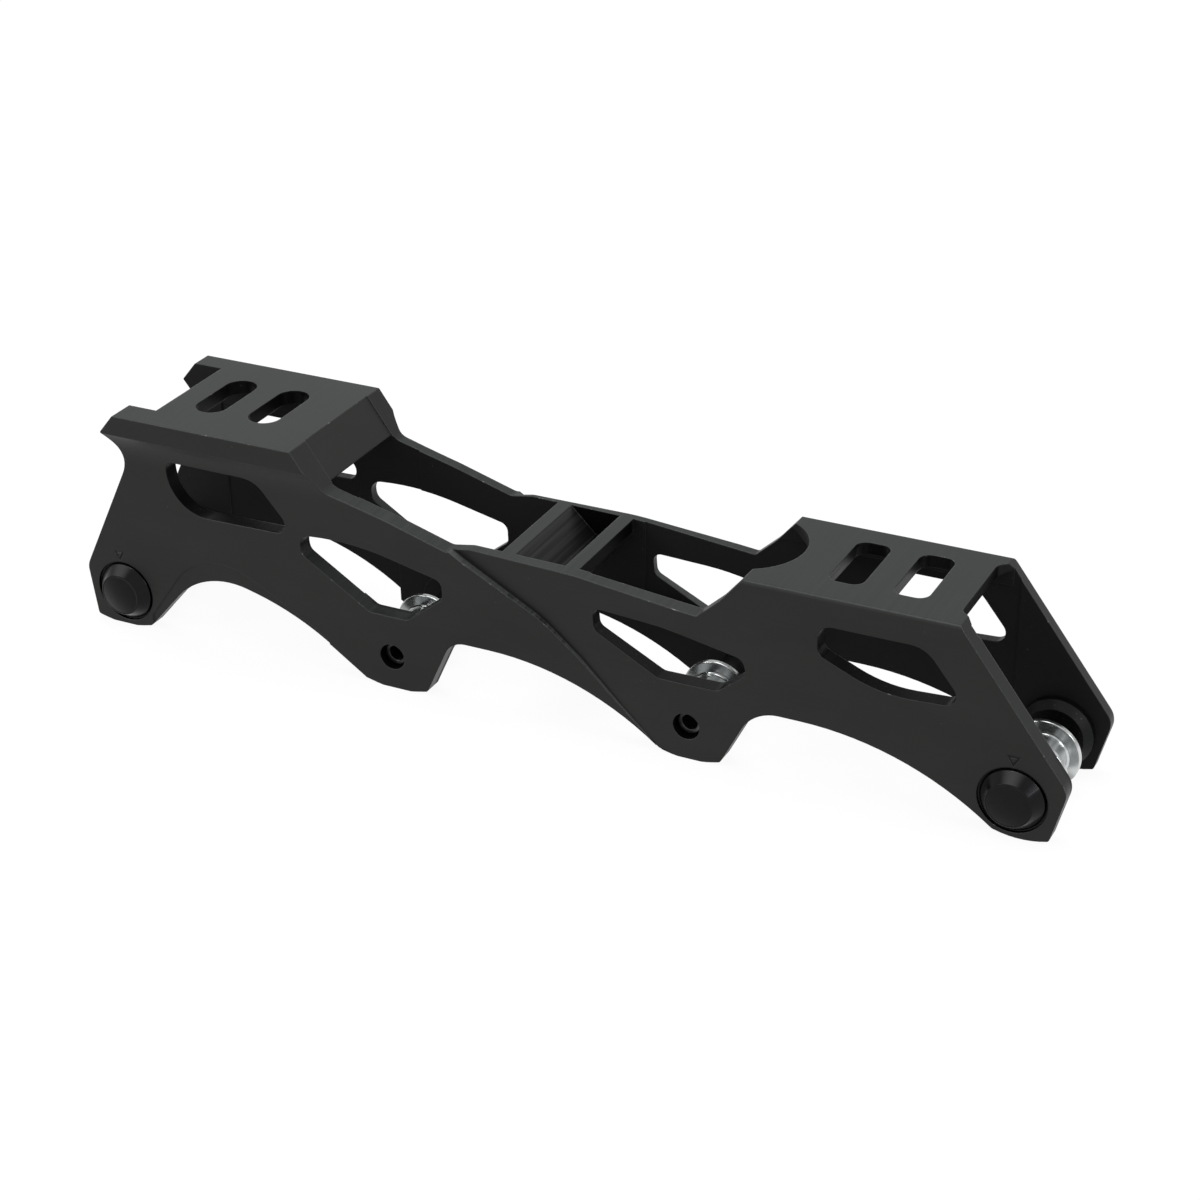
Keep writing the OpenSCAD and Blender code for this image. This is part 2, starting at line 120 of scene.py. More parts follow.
class Shade:
    """A shader value that Python's arithmetic turns into Math nodes."""

    def __init__(self, nodes: Nodes, socket: NodeSocket) -> None:
        """Keeps the node tree's tools and the socket that holds the value."""
        self.nodes = nodes
        self.socket = socket

    def math(self, operation: str, *others: Link) -> Shade:
        """Adds one Math node.

        Args:
            operation: the Math node's operation.
            others: its further operands, numbers or Shades.

        Returns:
            The node's result.
        """
        operands = dict(enumerate((self, *others)))
        return self.nodes.add("ShaderNodeMath", {"operation": operation}, operands)

    def __add__(self, other: Link) -> Shade:
        """Sum."""
        return self.math("ADD", other)

    __radd__ = __add__

    def __sub__(self, other: Link) -> Shade:
        """Difference."""
        return self.math("SUBTRACT", other)

    def __rsub__(self, other: Link) -> Shade:
        """Difference, reflected."""
        return (self * -1.0) + other

    def __mul__(self, other: Link) -> Shade:
        """Product."""
        return self.math("MULTIPLY", other)

    __rmul__ = __mul__

    def __truediv__(self, other: Link) -> Shade:
        """Quotient."""
        return self.math("DIVIDE", other)

    def __abs__(self) -> Shade:
        """The value without its sign."""
        return self.math("ABSOLUTE")

    def above(self, low: float, high: float) -> Shade:
        """Rises smoothly from 0 at low to 1 at high.

        Args:
            low: where the mask starts, which may be the larger value.
            high: where it is full.

        Returns:
            The mask.
        """
        settings = {"interpolation_type": "SMOOTHSTEP"}
        values = {"Value": self, "From Min": low, "From Max": high}
        return self.nodes.add("ShaderNodeMapRange", settings, values)

    def below(self, low: float, high: float) -> Shade:
        """Falls smoothly from 1 at low to 0 at high."""
        return self.above(high, low)

    def within(self, band: Band) -> Shade:
        """1 inside a band, and 0 outside it."""
        return self.above(*band.start) * self.below(*band.end)

    def swing(self, amount: float) -> Shade:
        """A noise's departure from its mean of a half, times amount."""
        return (self - 0.5) * amount


class Nodes:
    """A node tree with its output, and the method that adds every other node."""

    def __init__(self, owner: Material | World, output: str) -> None:
        """Empties the tree of a material or world and gives it an output of the named type.

        Args:
            owner: the material or world.
            output: the type of its output node.
        """
        owner.use_nodes = True
        self.tree = owner.node_tree
        self.tree.nodes.clear()
        self.output = self.tree.nodes.new(output)

    def add(self, kind: str, settings: dict[str, Any] | None = None,
            values: dict[Any, Link] | None = None, output: Any = 0) -> Shade:
        """Adds one node.

        Args:
            kind: the node's type.
            settings: its properties, set before its sockets.
            values: numbers, tuples or Shades for its input sockets, by name or index.
            output: name or index of the output that is wanted.

        Returns:
            That output as a Shade.
        """
        node = self.tree.nodes.new(kind)
        for key, value in (settings or {}).items():
            setattr(node, key, value)
        for key, value in (values or {}).items():
            self.connect(node.inputs[key], value)
        return Shade(self, node.outputs[output])

    def connect(self, socket: NodeSocket, value: Link) -> None:
        """Links a Shade to a socket, or writes a plain value into it.

        Args:
            socket: a node's input.
            value: a Shade, a number, or a tuple for a colour or vector.
        """
        if isinstance(value, Shade):
            self.tree.links.new(value.socket, socket)
        elif isinstance(value, tuple) and socket.type == "RGBA":
            socket.default_value = (*value, 1.0)
        else:
            socket.default_value = value

    def show(self, factor: Shade, first: Shade, second: Shade) -> None:
        """Sends a blend of two shaders to the output, the second at factor 1."""
        blend = self.add("ShaderNodeMixShader", None, {0: factor, 1: first, 2: second})
        self.connect(self.output.inputs["Surface"], blend)

    def shown_white(self) -> Shade:
        """1 for rays that come from the camera, from gloss or through glass.

        Returns:
            The mask.
        """
        camera, gloss, glass = (self.add("ShaderNodeLightPath", output=f"Is {kind} Ray")
                                for kind in ("Camera", "Glossy", "Transmission"))
        return camera.math("MAXIMUM", gloss).math("MAXIMUM", glass)


class Finish(Nodes):
    """One Principled material and the tools that its pattern is made with."""

    dust: Colour = (0.10, 0.10, 0.10)
    dusting: Grain = Grain(1300.0)

    def __init__(self, name: str) -> None:
        """Starts a material with a Principled shader and Object coordinates.

        Args:
            name: the material's name.
        """
        self.material = bpy.data.materials.new(name)
        super().__init__(self.material, "ShaderNodeOutputMaterial")
        surface = self.add("ShaderNodeBsdfPrincipled", output="BSDF")
        self.connect(self.output.inputs["Surface"], surface)
        self.inputs = surface.socket.node.inputs
        self.coords = self.add("ShaderNodeTexCoord", output="Object")

    def set(self, **sockets: Link) -> None:
        """Sets Principled sockets, named with _ for a space."""
        for name, value in sockets.items():
            self.connect(self.inputs[name.replace("_", " ")], value)

    def noise(self, grain: Grain) -> Shade:
        """Noise over the object's own coordinates.

        Args:
            grain: how it is laid.

        Returns:
            The noise, about 0.5.
        """
        scales = grain.scale if isinstance(grain.scale, tuple) else (grain.scale,) * 3
        place = self.add("ShaderNodeMapping", {"vector_type": "POINT"},
                         {"Vector": self.coords, "Scale": scales})
        return self.texture(place, 1.0, grain.detail, grain.roughness)

    def texture(self, vector: Shade, scale: float, detail: float, roughness: float) -> Shade:
        """A Noise Texture node read at a vector.

        Args:
            vector: where the noise is read.
            scale: its frequency there.
            detail: octaves.
            roughness: weight of the finer octaves.

        Returns:
            The noise, about 0.5.
        """
        return self.add("ShaderNodeTexNoise", {"noise_dimensions": "3D"},
                        {"Vector": vector, "Scale": scale, "Detail": detail,
                         "Roughness": roughness})

    def mix(self, factor: Link, first: Link, second: Link) -> Shade:
        """Blends two colours, the second at factor 1.

        A Mix node keeps its factor in input 0, its colours in inputs 6 and 7 and their blend
        in output 2.
        """
        return self.add("ShaderNodeMix", {"data_type": "RGBA", "clamp_factor": True},
                        {0: factor, 6: first, 7: second}, output=2)

    def part(self, vector: Shade, axis: int) -> Shade:
        """One component of a vector."""
        return self.add("ShaderNodeSeparateXYZ", None, {0: vector}, output=axis)

    def normal(self) -> Shade:
        """The face's own normal, without its smoothing."""
        return self.add("ShaderNodeNewGeometry", output="True Normal")

    def facing(self, axis: int) -> Shade:
        """One component of the face's own normal."""
        return self.part(self.normal(), axis)

    def place(self, axis: int) -> Shade:
        """One of the object's own coordinates, in metres."""
        return self.part(self.coords, axis)

    def rounded(self, radius: float) -> Shade:
        """The normal with every edge rounded by a radius, in metres."""
        return self.add("ShaderNodeBevel", {"samples": 6}, {"Radius": radius})

    def dusted(self, colour: Shade, share: float, specks: Range) -> Shade:
        """Sprinkles dust on a colour, over the range of the noise that makes specks."""
        return self.mix(self.noise(self.dusting).above(*specks) * share, colour, self.dust)

    def bump(self, height: Shade, depth: float, normal: Shade | None = None) -> None:
        """Raises the surface by height times depth, in metres, for its shading.

        Args:
            height: the pattern.
            depth: how far its full height rises.
            normal: the normal that it is laid on, or none for the surface's own.
        """
        values = {"Height": height, "Strength": 1.0, "Distance": depth}
        if normal is not None:
            values["Normal"] = normal
        self.set(Normal=self.add("ShaderNodeBump", None, values))


@dataclass(frozen=True)
class Metal:
    """What the metal finishes share: a name, and how metallic, shiny and rough they are.

    Their main pattern makes the roughness uneven. A share says how far one colour takes the
    place of another.
    """

    name: str
    metallic: float = 0.85
    specular: float = 0.35
    rough: float = 0.4
    uneven: float = 0.1

    def build(self) -> Material:
        """Makes the material and gives it the finish's own pattern.

        Returns:
            The finished material.
        """
        f = Finish(self.name)
        self.pattern(f)
        return f.material

    def pattern(self, f: Finish) -> None:
        """Sets what changes over the surface. Each finish has its own.

        Args:
            f: the material in hand.
        """
        raise NotImplementedError

    def sheen(self, f: Finish, change: Shade) -> None:
        """Sets metal, shine and roughness, with a change to the roughness."""
        f.set(Metallic=self.metallic, Specular_IOR_Level=self.specular,
              Roughness=change + self.rough)


@dataclass(frozen=True)
class Anodised(Metal):
    """Dark grey anodised aluminium: milled level faces, blasted walls, nicked edges, and painted
    shade and painted highlights.

    A Range holds the two values between which a mask fades. They are metres where the mask
    reads a place, and a component of the normal where it reads a direction.
    """

    wall: Colour = (0.0278, 0.0278, 0.0272)
    level: Colour = (0.0290, 0.0322, 0.0310)
    # Painted shade: the channel's faces are darker than the walls, and the ribs' sides darkest
    inner: Colour = (0.0105, 0.0105, 0.0104)
    rib_side_shade: Colour = (0.0030, 0.0030, 0.0030)
    # Painted highlight on the narrow step faces beside the scoops
    step: Colour = (0.060, 0.063, 0.062)
    # Painted shade in the bridge's pocket
    pocket: Colour = (0.0085, 0.0085, 0.0085)
    # Painted highlight on outer edges that face up
    edge: Colour = (0.070, 0.074, 0.073)
    # Painted shade on the threaded wall's slanted toe face
    end: Colour = (0.0180, 0.0185, 0.0185)
    bare: Colour = (0.34, 0.34, 0.33)

    metallic: float = 0.8
    inner_metallic: float = 0.3
    rib_metallic: float = 0.9
    step_metallic: float = 0.2
    specular: float = 0.1
    rough: float = 0.44
    inner_rough: float = 0.2
    uneven: float = 0.16
    cutter_rough: float = 0.25
    edge_r: float = 0.00045
    grain_depth: float = 0.000012

    cutter_lines: Grain = Grain((1100.0, 9.0, 60.0), 4.0, 0.68)
    drawn_lines: Grain = Grain((45.0, 200.0, 3800.0))
    mottle: Grain = Grain((34.0, 34.0, 60.0), 3.0, 0.55)
    blasting: Grain = Grain(4600.0, 1.0)
    nicking: Grain = Grain(420.0, 4.0, 0.7)

    mottle_tone: float = 0.35
    cutter_tone: float = 1.1
    drawn_tone: float = 0.10
    blasting_rise: float = 0.5
    cutter_rise: float = 1.4
    drawn_rise: float = 0.35
    dust_share: float = 0.3
    edge_highlight_share: float = 0.7
    nick_share_up: float = 0.6
    nick_share: float = 0.02
    slope_share: float = 0.65

    looks_up: Range = (0.62, 0.96)
    looks_aside: Range = (0.6, 0.95)
    looks_along: Range = (0.8, 0.95)
    specks: Range = (0.745, 0.765)
    nicked: Range = (0.61, 0.69)
    open_reach: float = 0.0012
    open_air: Range = (0.72, 0.97)
    bent: Range = (0.015, 0.12)
    bent_up: Range = (0.05, 0.55)

    bridge_half: Range = (0.0075, 0.0080)
    pocket_slope: Band = Band((0.25, 0.4), (0.85, 0.97))
    slope_streaks: Range = (0.40, 0.60)
    pocket_floor: Band = Band((0.0315, 0.0325), (0.0355, 0.0365))
    floor_level: Range = (0.9, 0.95)
    scoop_span: Band = Band((-0.0250, -0.0245), (0.0310, 0.0315))
    step_slope: Band = Band((0.2, 0.35), (0.91, 0.94))
    outer_skin: Range = (0.0145, 0.0150)
    toe_start: Range = (0.1000, 0.1010)
    toe_slant: Range = (0.5, 0.7)
    threaded_wall: Range = (-0.0130, -0.0120)
    channel_half: Range = (0.0135, 0.0150)
    rail_top: Range = (0.0195, 0.0215)
    under: Range = (0.2, 0.35)
    inwards: Range = (-0.009, -0.004)

    def pattern(self, f: Finish) -> None:
        """Colours each kind of face with painted shade and painted highlights, and adds tool
        marks, dust and nicks.

        The base colour of a face is multiplied by slow mottling, cutter lines along Y on level
        faces and drawn lines along X on the walls. Dust lies on it. Outer edges are rounded,
        given a painted highlight where they face up, and nicked to bare metal.

        Args:
            f: the material in hand.
        """
        up = f.facing(Z).above(*self.looks_up)
        side = abs(f.facing(Y)).above(*self.looks_aside)
        cutter = f.noise(self.cutter_lines)
        drawn = f.noise(self.drawn_lines)
        clouds = f.noise(self.mottle)
        inside, step = self.inside(f), self.step_highlight_mask(f)
        across = abs(f.facing(X)).above(*self.looks_along)
        lines = cutter.swing(self.cutter_tone) * up + drawn.swing(self.drawn_tone) * side
        tone = clouds.swing(self.mottle_tone) + lines + 1.0
        base = self.base(f, up, inside, across, step, cutter)
        toned = f.add("ShaderNodeVectorMath", {"operation": "SCALE"}, {0: base, "Scale": tone})
        rounded = f.rounded(self.edge_r)
        dusty = f.dusted(toned, self.dust_share, self.specks)
        f.set(Base_Color=self.edge_highlight_and_nicks(f, dusty, rounded))
        self.sheen(f, clouds.swing(self.uneven) + cutter.swing(self.cutter_rough) * up
                   + inside * self.inner_rough)
        between = across * (self.rib_metallic - self.inner_metallic)
        f.set(Metallic=inside * (between + (self.inner_metallic - self.metallic))
              + step * (self.step_metallic - self.metallic) + self.metallic)
        grain = (f.noise(self.blasting) * self.blasting_rise + cutter * up * self.cutter_rise
                 + drawn * side * self.drawn_rise)
        f.bump(grain, self.grain_depth, rounded)

    def base(self, f: Finish, up: Shade, inside: Shade, across: Shade, step: Shade,
             cutter: Shade) -> Shade:
        """The colour of each kind of face, before its pattern.

        Args:
            f: the material in hand.
            up: 1 on level faces.
            inside: 1 on the channel's own faces, which get painted shade.
            across: 1 on faces square to the frame's length.
            step: 1 on the narrow faces that border the scooped sides, which get a painted
                highlight.
            cutter: the noise of the cutter lines.

        Returns:
            Wall grey or the milled grey of level faces outside; painted shade that is darker
            inside the channel and darkest on the ribs' sides; a painted highlight on the step
            faces; and painted shade on the toe's slant and in the bridge's pocket.
        """
        outer = f.mix(up, self.wall, self.level)
        # Painted shade inside the channel, darkest on the ribs' sides
        inner = f.mix(across, self.inner, self.rib_side_shade)
        # Painted highlight on the step faces; the channel's painted shade is blended in here too
        base = f.mix(step, f.mix(inside, outer, inner), self.step)
        # Painted shade on the toe's slant
        base = f.mix(self.toe_shade_mask(f), base, self.end)
        # Painted shade in the bridge's pocket, laid in streaks along the cutter lines on its
        # slope
        return f.mix(self.pocket_shade_mask(f, cutter), base, self.pocket)

    def edge_highlight_and_nicks(self, f: Finish, colour: Shade, rounded: Shade) -> Shade:
        """Gives outer edges a painted highlight where they face up, and nicks them to bare metal.

        The rounded normal leaves the face's own near an edge, and outer edges are the ones
        that stand in the open.

        Args:
            f: the material in hand.
            colour: the colour away from the edges.
            rounded: the normal with its edges rounded.

        Returns:
            The colour with its painted edge highlight and its nicks.
        """
        along = f.add("ShaderNodeVectorMath", {"operation": "DOT_PRODUCT"},
                      {0: rounded, 1: f.normal()}, output="Value")
        open_air = f.add("ShaderNodeAmbientOcclusion", {"samples": 3, "only_local": True},
                         {"Distance": self.open_reach}, output="AO").above(*self.open_air)
        rim = (1.0 - along).above(*self.bent) * open_air
        up_rim_highlight_and_wear = f.part(rounded, Z).above(*self.bent_up)
        nicks = f.noise(self.nicking).above(*self.nicked)
        # Painted highlight: outer edges that face up are paler. The nicks to bare metal are real
        # wear, more often on top edges
        pale = f.mix(rim * up_rim_highlight_and_wear * self.edge_highlight_share, colour, self.edge)
        share = up_rim_highlight_and_wear * self.nick_share_up + self.nick_share
        return f.mix(rim * nicks * share, pale, self.bare)

    def pocket_shade_mask(self, f: Finish, cutter: Shade) -> Shade:
        """1 where the bridge's pocket gets painted shade: on its level floor, and on streaks of
        its slope that follow the cutter lines.

        Args:
            f: the material in hand.
            cutter: the noise of the cutter lines.

        Returns:
            The mask.
        """
        rise = f.facing(Z)
        near_middle = abs(f.place(X)).below(*self.bridge_half)
        slope = rise.within(self.pocket_slope) * cutter.below(*self.slope_streaks)
        low = f.place(Z).within(self.pocket_floor)
        floor = low * rise.above(*self.floor_level)
        return near_middle * (slope * self.slope_share).math("MAXIMUM", floor)

    def step_highlight_mask(self, f: Finish) -> Shade:
        """1 on the narrow sloping faces that border the scooped sides of the walls, which get a
        painted highlight.

        Args:
            f: the material in hand.

        Returns:
            The mask.
        """
        beside_bridge = f.place(X).within(self.scoop_span)
        outside = abs(f.place(Y)).above(*self.outer_skin)
        return beside_bridge * outside * f.facing(Z).within(self.step_slope)

    def toe_shade_mask(self, f: Finish) -> Shade:
        """1 on the threaded wall's slanted toe face, which gets painted shade to be darker than
        the other slants.

        Args:
            f: the material in hand.

        Returns:
            The mask.
        """
        ahead = f.place(X).above(*self.toe_start) * f.facing(X).above(*self.toe_slant)
        return ahead * f.place(Y).below(*self.threaded_wall)

    def inside(self, f: Finish) -> Shade:
        """1 on the channel's own faces, which get painted shade.

        The walls' faces there look at the wheels' middle plane. What lies between the walls and
        doesn't face up is a rib, a notch or a platform's underside, and what is low there is the
        top of a rail.

        Args:
            f: the material in hand.

        Returns:
            The mask.
        """
        towards = (f.place(Y) * f.facing(Y)).below(*self.inwards)
        between = abs(f.place(Y)).below(*self.channel_half)
        low = f.place(Z).below(*self.rail_top)
        hidden = between * f.facing(Z).below(*self.under).math("MAXIMUM", low)
        return towards.math("MAXIMUM", hidden)


@dataclass(frozen=True)
class CutFace(Metal):
    """The cutter's own walls inside the windows, slots and bores: streaked, and darker with
    painted shade.
    """

    # Painted shade: these walls are darker than the outer walls; pale is the tone of the real
    # streaks
    base: Colour = (0.0052, 0.0052, 0.0051)
    pale: Colour = (0.0112, 0.0114, 0.0112)
    # Painted shade at its darkest, in the windows at both ends
    dark: Colour = (0.0022, 0.0022, 0.0022)
    specular: float = 0.1
    rough: float = 0.42
    uneven: float = 0.3
    edge_r: float = 0.0004
    grain_depth: float = 0.000010
    streaking: Grain = Grain((1500.0, 60.0, 1500.0), 3.0, 0.6)
    mottle: Grain = Grain(70.0, 3.0, 0.55)
    streak_share: float = 0.5
    dust_share: float = 0.35
    rear_shade_share: float = 0.8
    front_shade_share: float = 0.45
    specks: Range = (0.70, 0.74)
    rear_x: Range = (-0.070, -0.055)
    rear_z: Range = (0.0495, 0.0500)
    front_x: Range = (0.066, 0.069)
    front_z: Range = (0.0380, 0.0385)

    def pattern(self, f: Finish) -> None:
        """Adds fine upright streaks over painted shade, which is darkest in the windows at both
        ends.

        Args:
            f: the material in hand.
        """
        streaks, clouds = f.noise(self.streaking), f.noise(self.mottle)
        share = clouds * (1.0 - self.streak_share) + streaks * self.streak_share
        streaked = f.mix(share, self.base, self.pale)
        # Painted shade, deepest in the rear and front windows
        rear = f.place(X).below(*self.rear_x) * f.place(Z).below(*self.rear_z)
        front = f.place(X).above(*self.front_x) * f.place(Z).below(*self.front_z)
        end_window_shade = (rear * self.rear_shade_share).math("MAXIMUM", front * self.front_shade_share)
        shaded = f.mix(end_window_shade, streaked, self.dark)
        f.set(Base_Color=f.dusted(shaded, self.dust_share, self.specks))
        self.sheen(f, streaks.swing(self.uneven))
        f.bump(streaks, self.grain_depth, f.rounded(self.edge_r))


@dataclass(frozen=True)
class GlossBlack(Metal):
    """Polished black anodising of the rocker nuts' cones."""

    base: Colour = (0.0032, 0.0032, 0.0037)
    marked: Colour = (0.007, 0.007, 0.008)
    # Painted highlight colour, laid where a cone faces up
    painted_highlight: Colour = (0.052, 0.052, 0.054)
    metallic: float = 0.92
    specular: float = 0.4
    coat: float = 0.16
    coat_rough: float = 0.08
    rough: float = 0.2
    uneven: float = 0.08
    marking: Grain = Grain(700.0, 3.0, 0.6)
    # Where the painted highlight fades in, by the upward part of the face's normal
    highlight_facing_up: Range = (0.71, 0.80)

    def pattern(self, f: Finish) -> None:
        """Makes a glossy black with a painted highlight, paler where a cone faces the sky.

        Args:
            f: the material in hand.
        """
        marks = f.noise(self.marking)
        # Painted highlight on the cone's upper side
        painted_highlight = f.facing(Z).above(*self.highlight_facing_up)
        f.set(Base_Color=f.mix(painted_highlight, f.mix(marks, self.base, self.marked), self.painted_highlight))
        f.set(Coat_Weight=self.coat, Coat_Roughness=self.coat_rough)
        self.sheen(f, marks.swing(self.uneven))


@dataclass(frozen=True)
class SatinBlack(Metal):
    """Matt black anodising of the nuts' flat discs."""

    base: Colour = (0.031, 0.031, 0.030)
    pale: Colour = (0.038, 0.038, 0.037)
    grain_depth: float = 0.000006
    mottle: Grain = Grain(260.0, 3.0)
    blasting: Grain = Grain(6000.0, 1.0)

    def pattern(self, f: Finish) -> None:
        """Adds fine blasted grain under a soft sheen.

        Args:
            f: the material in hand.
        """
        clouds = f.noise(self.mottle)
        f.set(Base_Color=f.mix(clouds, self.base, self.pale))
        self.sheen(f, clouds.swing(self.uneven))
        f.bump(f.noise(self.blasting), self.grain_depth)


@dataclass(frozen=True)
class BushGrey(Metal):
    """Speckled dark grey of the far bushes."""

    base: Colour = (0.0108, 0.0112, 0.0116)
    speck: Colour = (0.09, 0.09, 0.09)
    uneven: float = 0.2
    grain_depth: float = 0.00001
    speckling: Grain = Grain(2600.0)
    speck_share: float = 0.5
    specks: Range = (0.66, 0.74)

    def pattern(self, f: Finish) -> None:
        """Makes a grey with pale pin-prick specks.

        Args:
            f: the material in hand.
        """
        grain = f.noise(self.speckling)
        share = grain.above(*self.specks) * self.speck_share
        f.set(Base_Color=f.mix(share, self.base, self.speck))
        self.sheen(f, grain.swing(self.uneven))
        f.bump(grain, self.grain_depth)


@dataclass(frozen=True)
class TurnedSilver(Metal):
    """Bare turned aluminium of the bearing spacers, with rings left by the tool."""

    along: tuple[float, ...] = ()
    height: float = 0.0
    # The ends of the tone, which comes from the painted reflection and from random smear
    base: Colour = (0.68, 0.70, 0.70)
    dull: Colour = (0.27, 0.28, 0.28)
    metallic: float = 0.95
    specular: float = 0.5
    rough: float = 0.16
    uneven: float = 0.08
    smear_rough: float = 0.10
    ring_depth: float = 0.000005
    ringing: Grain = Grain((20.0, 2400.0, 20.0), 1.0)
    smearing: Grain = Grain((120.0, 700.0, 120.0))
    smear_share: float = 0.35
    # How much and how finely the painted reflection is laid, and where it turns light
    reflection_share: float = 0.6
    reflection_width: float = 1.7
    reflection_from: Range = (0.40, 0.60)

    def pattern(self, f: Finish) -> None:
        """Adds tool rings and a painted reflection.

        The rings are noise that varies only along Y. Streaks of painted reflection, light and
        dark, run out from each axle's line in the base colour, as light reflects off a turned
        face.

        Args:
            f: the material in hand.
        """
        rings, smear = f.noise(self.ringing), f.noise(self.smearing)
        # Painted reflection from the axle's line, plus random smear, sets the colour between dull
        # and base
        tone = self.painted_reflection_rays(f).above(*self.reflection_from) * self.reflection_share + smear * self.smear_share
        f.set(Base_Color=f.mix(tone, self.dull, self.base))
        self.sheen(f, smear.swing(self.smear_rough) + rings.swing(self.uneven))
        f.bump(rings, self.ring_depth)

    def painted_reflection_rays(self, f: Finish) -> Shade:
        """The painted reflection's pattern: noise that depends only on the direction from the
        nearest axle's line.

        The place aside of that line is the X coordinate wrapped round by the pitch of the
        stations. It and the height above the line, over their distance, make the direction.

        Args:
            f: the material in hand.

        Returns:
            The noise, about 0.5.
        """
        half = (self.along[1] - self.along[0]) / 2 * MM
        aside = (f.place(X) - self.along[0] * MM).math("WRAP", half, -half)
        over = f.place(Z) - self.height * MM
        radius = (aside * aside + over * over).math("SQRT") + TINY
        way = f.add("ShaderNodeCombineXYZ", None, {X: aside / radius, Z: over / radius})
        return f.texture(way, self.reflection_width, 1.0, 0.5)


@dataclass(frozen=True)
class AxleSteel(Metal):
    """Blackened steel of the axles."""

    base: Colour = (0.030, 0.030, 0.032)
    worn: Colour = (0.11, 0.11, 0.112)
    specular: float = 0.5
    rough: float = 0.34
    uneven: float = 0.15
    ring_depth: float = 0.000008
    ringing: Grain = Grain((60.0, 3600.0, 60.0))
    wearing: Grain = Grain(240.0, 3.0)
    worn_share: float = 0.5
    worn_from: Range = (0.56, 0.72)

    def pattern(self, f: Finish) -> None:
        """Adds turning rings and slightly worn patches to dark steel.

        Args:
            f: the material in hand.
        """
        rings = f.noise(self.ringing)
        worn = f.noise(self.wearing).above(*self.worn_from)
        f.set(Base_Color=f.mix(worn * self.worn_share, self.base, self.worn))
        self.sheen(f, rings.swing(self.uneven))
        f.bump(rings, self.ring_depth)


@dataclass
class Ring:
    """One circle of a turned surface, given as a corner of its profile."""

    out: float
    radius: float
    round: float = 0.0
    slot: int = 0
    shift: float = 0.0
    hexed: bool = False


@dataclass
class Turned:
    """A surface of circles carried along a profile, some off the middle or six-sided."""

    name: str
    centre: tuple[float, float, float]
    side: Side
    rings: list[Ring]
    closed: bool = False
    segments: int = 96
    steps: int = 4
    leg_share: float = 0.45
    hold: float = 0.04
    hold_share: float = 0.05

    def rows(self) -> np.ndarray:
        """Rounds the profile's corners, apart from the two ends of an open profile.

        Returns:
            Rows of (out, radius, shift, hexed, slot of the band that starts there).
        """
        rings, count = self.rings, len(self.rings)
        rows: list[list[float]] = []
        for k, ring in enumerate(rings):
            tail = [ring.shift, float(ring.hexed), float(ring.slot)]
            point = np.array([ring.out, ring.radius])
            has_both = self.closed or 0 < k < count - 1
            if ring.round <= 0 or not has_both:
                rows.append([*point, *tail])
                continue
            before, after = rings[k - 1], rings[(k + 1) % count]
            rows.extend([*p, *tail] for p in self.arc(before, point, after, ring.round))
        return np.array(rows)

    def arc(self, before: Ring, point: np.ndarray, after: Ring, radius: float) -> np.ndarray:
        """Points of the arc that rounds one corner, with a holding point on each side.

        The circle of the given radius touches both sides at radius*tan(turn/2) from the
        corner, or nearer where a side is short. The arc is the rational curve of degree two
        through those tangent points, with the corner weighted by cos(turn/2).

        Args:
            before: the corner that comes first.
            point: the corner to round, as (out, radius).
            after: the corner that comes next.
            radius: the arc's radius.

        Returns:
            An array of points along the profile.
        """
        back = np.array([before.out, before.radius]) - point
        ahead = np.array([after.out, after.radius]) - point
        back_len, ahead_len = np.linalg.norm(back), np.linalg.norm(ahead)
        back, ahead = back / back_len, ahead / ahead_len
        turn = math.pi - math.acos(float(np.clip(back @ ahead, -1, 1)))
        leg = min(radius * math.tan(turn / 2), self.leg_share * min(back_len, ahead_len))
        start, end = point + back * leg, point + ahead * leg
        t = np.linspace(0, 1, self.steps + 1)[:, None]
        weight = math.cos(turn / 2)
        below = (1 - t) ** 2 + 2 * weight * t * (1 - t) + t ** 2
        curve = ((1 - t) ** 2 * start + 2 * weight * t * (1 - t) * point + t ** 2 * end) / below
        return np.vstack([start + back * min(self.hold, self.hold_share * back_len), curve,
                          end + ahead * min(self.hold, self.hold_share * ahead_len)])

    def build(self) -> Object:
        """Makes the mesh: point (row, angle) lies at the row's centre plus radius*(cos, sin).

        A six-sided row divides the radius by cos of the angle from its nearest flat's middle.
        Neighbouring rows and angles are joined by quads.

        Returns:
            The object, with its place in its mesh.
        """
        rows = self.rows()
        out, radius, shift, hexed, slot = rows.T
        angle = np.linspace(0, 2 * math.pi, self.segments, endpoint=False)
        off_flat = np.mod(angle, math.pi / 3) - math.pi / 6
        reach = np.where(hexed[:, None] > 0, 1 / np.cos(off_flat), 1.0) * radius[:, None]
        x = self.centre[0] + reach * np.cos(angle)
        z = self.centre[2] + shift[:, None] + reach * np.sin(angle)
        y = np.broadcast_to((self.centre[1] + self.side.value * out)[:, None], x.shape)
        points = np.stack([x, y, z], -1).reshape(-1, 3) * MM
        count, n = len(rows), self.segments
        i = np.arange(count if self.closed else count - 1)[:, None]
        j = np.arange(n)[None, :]
        a, b = i * n + j, i * n + (j + 1) % n
        c, d = ((i + 1) % count) * n + (j + 1) % n, ((i + 1) % count) * n + j
        quads = np.stack([a, b, c, d], -1).reshape(-1, 4)
        slots = np.repeat(slot[: len(i)].astype(int), n)
        return make_mesh(self.name, points, quads, slots)


